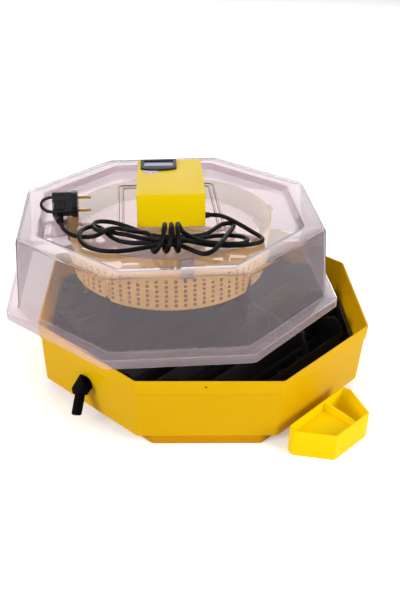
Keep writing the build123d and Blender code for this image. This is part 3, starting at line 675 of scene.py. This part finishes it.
def plug_strap():
    """The finger loop's end, which lies over the plug's side as a low raised band."""
    side = Place(lid.at(*PLUG_REAR), lid.right,
                 lid.up * math.cos(PLUG_ROLL) + lid.back * math.sin(PLUG_ROLL),
                 lid.up * math.sin(PLUG_ROLL) - lid.back * math.cos(PLUG_ROLL))
    rings = []
    for inset, height in ((0.0, 12.0), (0.0, 15.6), (0.9, 16.9), (2.0, 17.3)):
        sides = rectangle(0.3 + inset, 18.0 - inset, inset - 10.0, 3.5 - inset)
        rings.append((rounded(sides, 2.6 - inset), height))
    loops = loops_of(side, rings)
    count = len(loops[0])
    faces = skin(loops) + [cap(0, count), cap(len(loops) - 1, count)]
    piece_from("plug_strap", flatten(loops), faces, plug_black, "lid")


plug_strap()

# ---- mains cord --------------------------------------------------------------------------------
CORD_DIAMETER, CORD_LENGTH = 0.0065, 1.93
# strands on the panel lie at 118.5, and each strand that they cross lifts them by one diameter
LEAD = [(57.9, -29.6, 123.5), (68, -30.4, 123.9), (79, -39, 124.4), (90, -57, 125),
        (103, -71, 122.2), (115, -86, 119.2), (125, -101, 118.7), (126, -114, 118.7),
        (114, -123, 118.7), (98, -126, 118.7)]
HANK = [(75, -126, 118.6), (53, -124, 118.6), (30, -123, 124), (8, -125, 131), (-14, -125, 131.4),
        (-34, -114, 127), (-50, -93, 120.5), (-66, -79, 118.6), (-82, -73, 119), (-96, -77, 124.5),
        (-108, -75, 125.5), (-114, -58, 125), (-109, -41, 124), (-95, -35, 121), (-78, -38, 118.6),
        (-57, -57, 118.6), (-38, -88, 123), (-18, -114, 130), (2, -118.5, 131.4), (22, -108, 126),
        (46, -88, 119), (57, -75, 118.6), (66, -62, 118.6), (75, -52, 118.6), (86, -50.5, 118.8),
        (91, -60.5, 120), (87, -77, 122.5), (76, -104, 125.3), (64, -136, 129), (55, -149, 125),
        (43, -151, 119), (31, -145, 118.6), (20, -135, 120.5), (4, -129, 124.9),
        (-18, -128.5, 124.9), (-38, -126, 121), (-56, -128, 118.6), (-78, -132, 118.6),
        (-100, -129, 118.6), (-119, -117, 118.8), (-130, -102, 121), (-132, -86, 125),
        (-130, -67, 122), (-124, -52, 119), (-112, -45, 118.6), (-101, -53, 118.6),
        (-95, -69, 118.6), (-86, -87, 118.6), (-75, -100, 118.6), (-58, -108, 119),
        (-38, -114, 122), (-18, -121.5, 124.9), (4, -122, 124.9), (24, -111, 122),
        (46, -96, 119), (64, -92, 118.6), (81, -93, 118.8), (97, -104, 122), (104, -122, 125),
        (95, -135, 125.3), (74, -134, 125.3), (47, -127, 125), (30, -120, 127), (20, -112, 130)]
TAIL = [(-36, -100, 131), (-46, -90, 127), (-58, -79, 124.5), (-75, -70, 125), (-89, -75, 127.5),
        (-100, -85, 125.5), (-112, -86, 120.5), (-128, -82, 118.7), (-141, -76, 118.7),
        (-152, -62, 119), (-159, -46, 119.8), (-162, -31, 121.2)]


def wraps():
    """Three loose turns round the bundle's middle, which fan out at its foot."""
    turns, steps, points = 3, 12, []
    middle, deep, rake, low, tall = -127.0, 19.5, 7.0, 118.5, 32.0
    for step in range(turns * steps):
        share = step / steps
        angle = 2 * math.pi * share
        rise = math.sin(angle)
        x = 7.0 - 8.5 * share + (8.4 - 8.0 * share) * (1 - rise) / 2
        y = middle + deep * math.cos(angle) + rake * rise
        points.append((x, y, low + tall / 2 * (1 + rise)))
    return points


def cord():
    """The whole cord, from the gland on the box to the plug, as one curve."""
    points = [lid.at(*p) for p in LEAD + HANK + wraps() + TAIL]
    curve = bpy.data.curves.new("mains_cord", "CURVE")
    curve.dimensions = "3D"
    line = curve.splines.new("NURBS")
    line.points.add(len(points) - 1)
    for point, place in zip(line.points, points):
        point.co = (*place, 1.0)
    line.order_u = 3
    line.use_endpoint_u = True
    line.resolution_u = 6
    curve.bevel_depth = CORD_DIAMETER / 2
    curve.bevel_resolution = 5
    curve.use_fill_caps = True
    curve.materials.append(cord_black)
    made = bpy.data.objects.new("mains_cord", curve)
    bpy.context.scene.collection.objects.link(made)
    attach(made, "lid")
    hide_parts("cord_lead", "cord_hank", "cord_tail")


cord()

# ---- stage, light and camera -------------------------------------------------------------------
CAMERA_AT = Vector((-0.0722, -1.1429, 0.7574))
CAMERA_AIM = Vector((-0.0038, -0.0204, 0.1052))
CAMERA_ROLL = math.radians(2.049)
CAMERA_LENS = 51.02
LIGHTS_AIM = Vector((0.0, 0.0, 0.1))


def camera():
    data = bpy.data.cameras.new("camera")
    data.lens, data.sensor_width, data.sensor_fit = CAMERA_LENS, 36.0, "AUTO"
    made = bpy.data.objects.new("camera", data)
    look = (CAMERA_AIM - CAMERA_AT).to_track_quat("-Z", "Y").to_matrix()
    made.matrix_world = Matrix.Translation(CAMERA_AT) @ (
        look @ Matrix.Rotation(CAMERA_ROLL, 3, "Z")).to_4x4()
    bpy.context.scene.collection.objects.link(made)
    bpy.context.scene.camera = made


def floor():
    """White paper, lit a little by itself where the camera sees it."""
    work = bmesh.new()
    bmesh.ops.create_grid(work, x_segments=8, y_segments=8, size=6.0)
    mesh = bpy.data.meshes.new("floor")
    work.to_mesh(mesh)
    work.free()
    paper = Nodes("floor_white")
    ray = paper.add("ShaderNodeLightPath")
    paper.link(paper.ramp(ray.outputs["Is Camera Ray"], [(0.0, (0.75, 0.75, 0.75)),
                                                         (1.0, (0.90, 0.90, 0.90))]),
               paper.shader.inputs["Base Color"])
    paper.link(paper.map_range(ray.outputs["Is Camera Ray"], 0.0, 1.0, 0.0, 0.25),
               paper.shader.inputs["Emission Strength"])
    paper.set(Emission_Color=(1.0, 1.0, 1.0, 1.0), Roughness=0.75, Specular_IOR_Level=0.0)
    mesh.materials.append(paper.material)
    made = bpy.data.objects.new("floor", mesh)
    made.location.z = -0.0005
    bpy.context.scene.collection.objects.link(made)


def area_light(name, place, size, power):
    """A rectangular lamp that points at the middle of the part."""
    data = bpy.data.lights.new(name, "AREA")
    data.shape, data.size, data.size_y = "RECTANGLE", *size
    data.energy = power
    made = bpy.data.objects.new(name, data)
    look = (LIGHTS_AIM - Vector(place)).to_track_quat("-Z", "Y").to_matrix().to_4x4()
    made.matrix_world = Matrix.Translation(Vector(place)) @ look
    bpy.context.scene.collection.objects.link(made)


def studio():
    sky = bpy.data.worlds.new("studio")
    sky.use_nodes = True
    ground = sky.node_tree.nodes["Background"]
    ground.inputs["Color"].default_value = (1.0, 1.0, 1.0, 1.0)
    ground.inputs["Strength"].default_value = 0.50
    bpy.context.scene.world = sky
    area_light("key", (-1.7, -1.4, 1.05), (1.0, 1.0), 35.0)
    area_light("fill", (1.75, -1.2, 0.95), (1.2, 1.2), 40.0)
    area_light("back", (0.0, 2.3, 1.5), (3.2, 1.7), 38.0)
    bpy.context.scene.view_settings.view_transform = "Standard"
    bpy.context.scene.view_settings.look = "None"


camera()
floor()
studio()
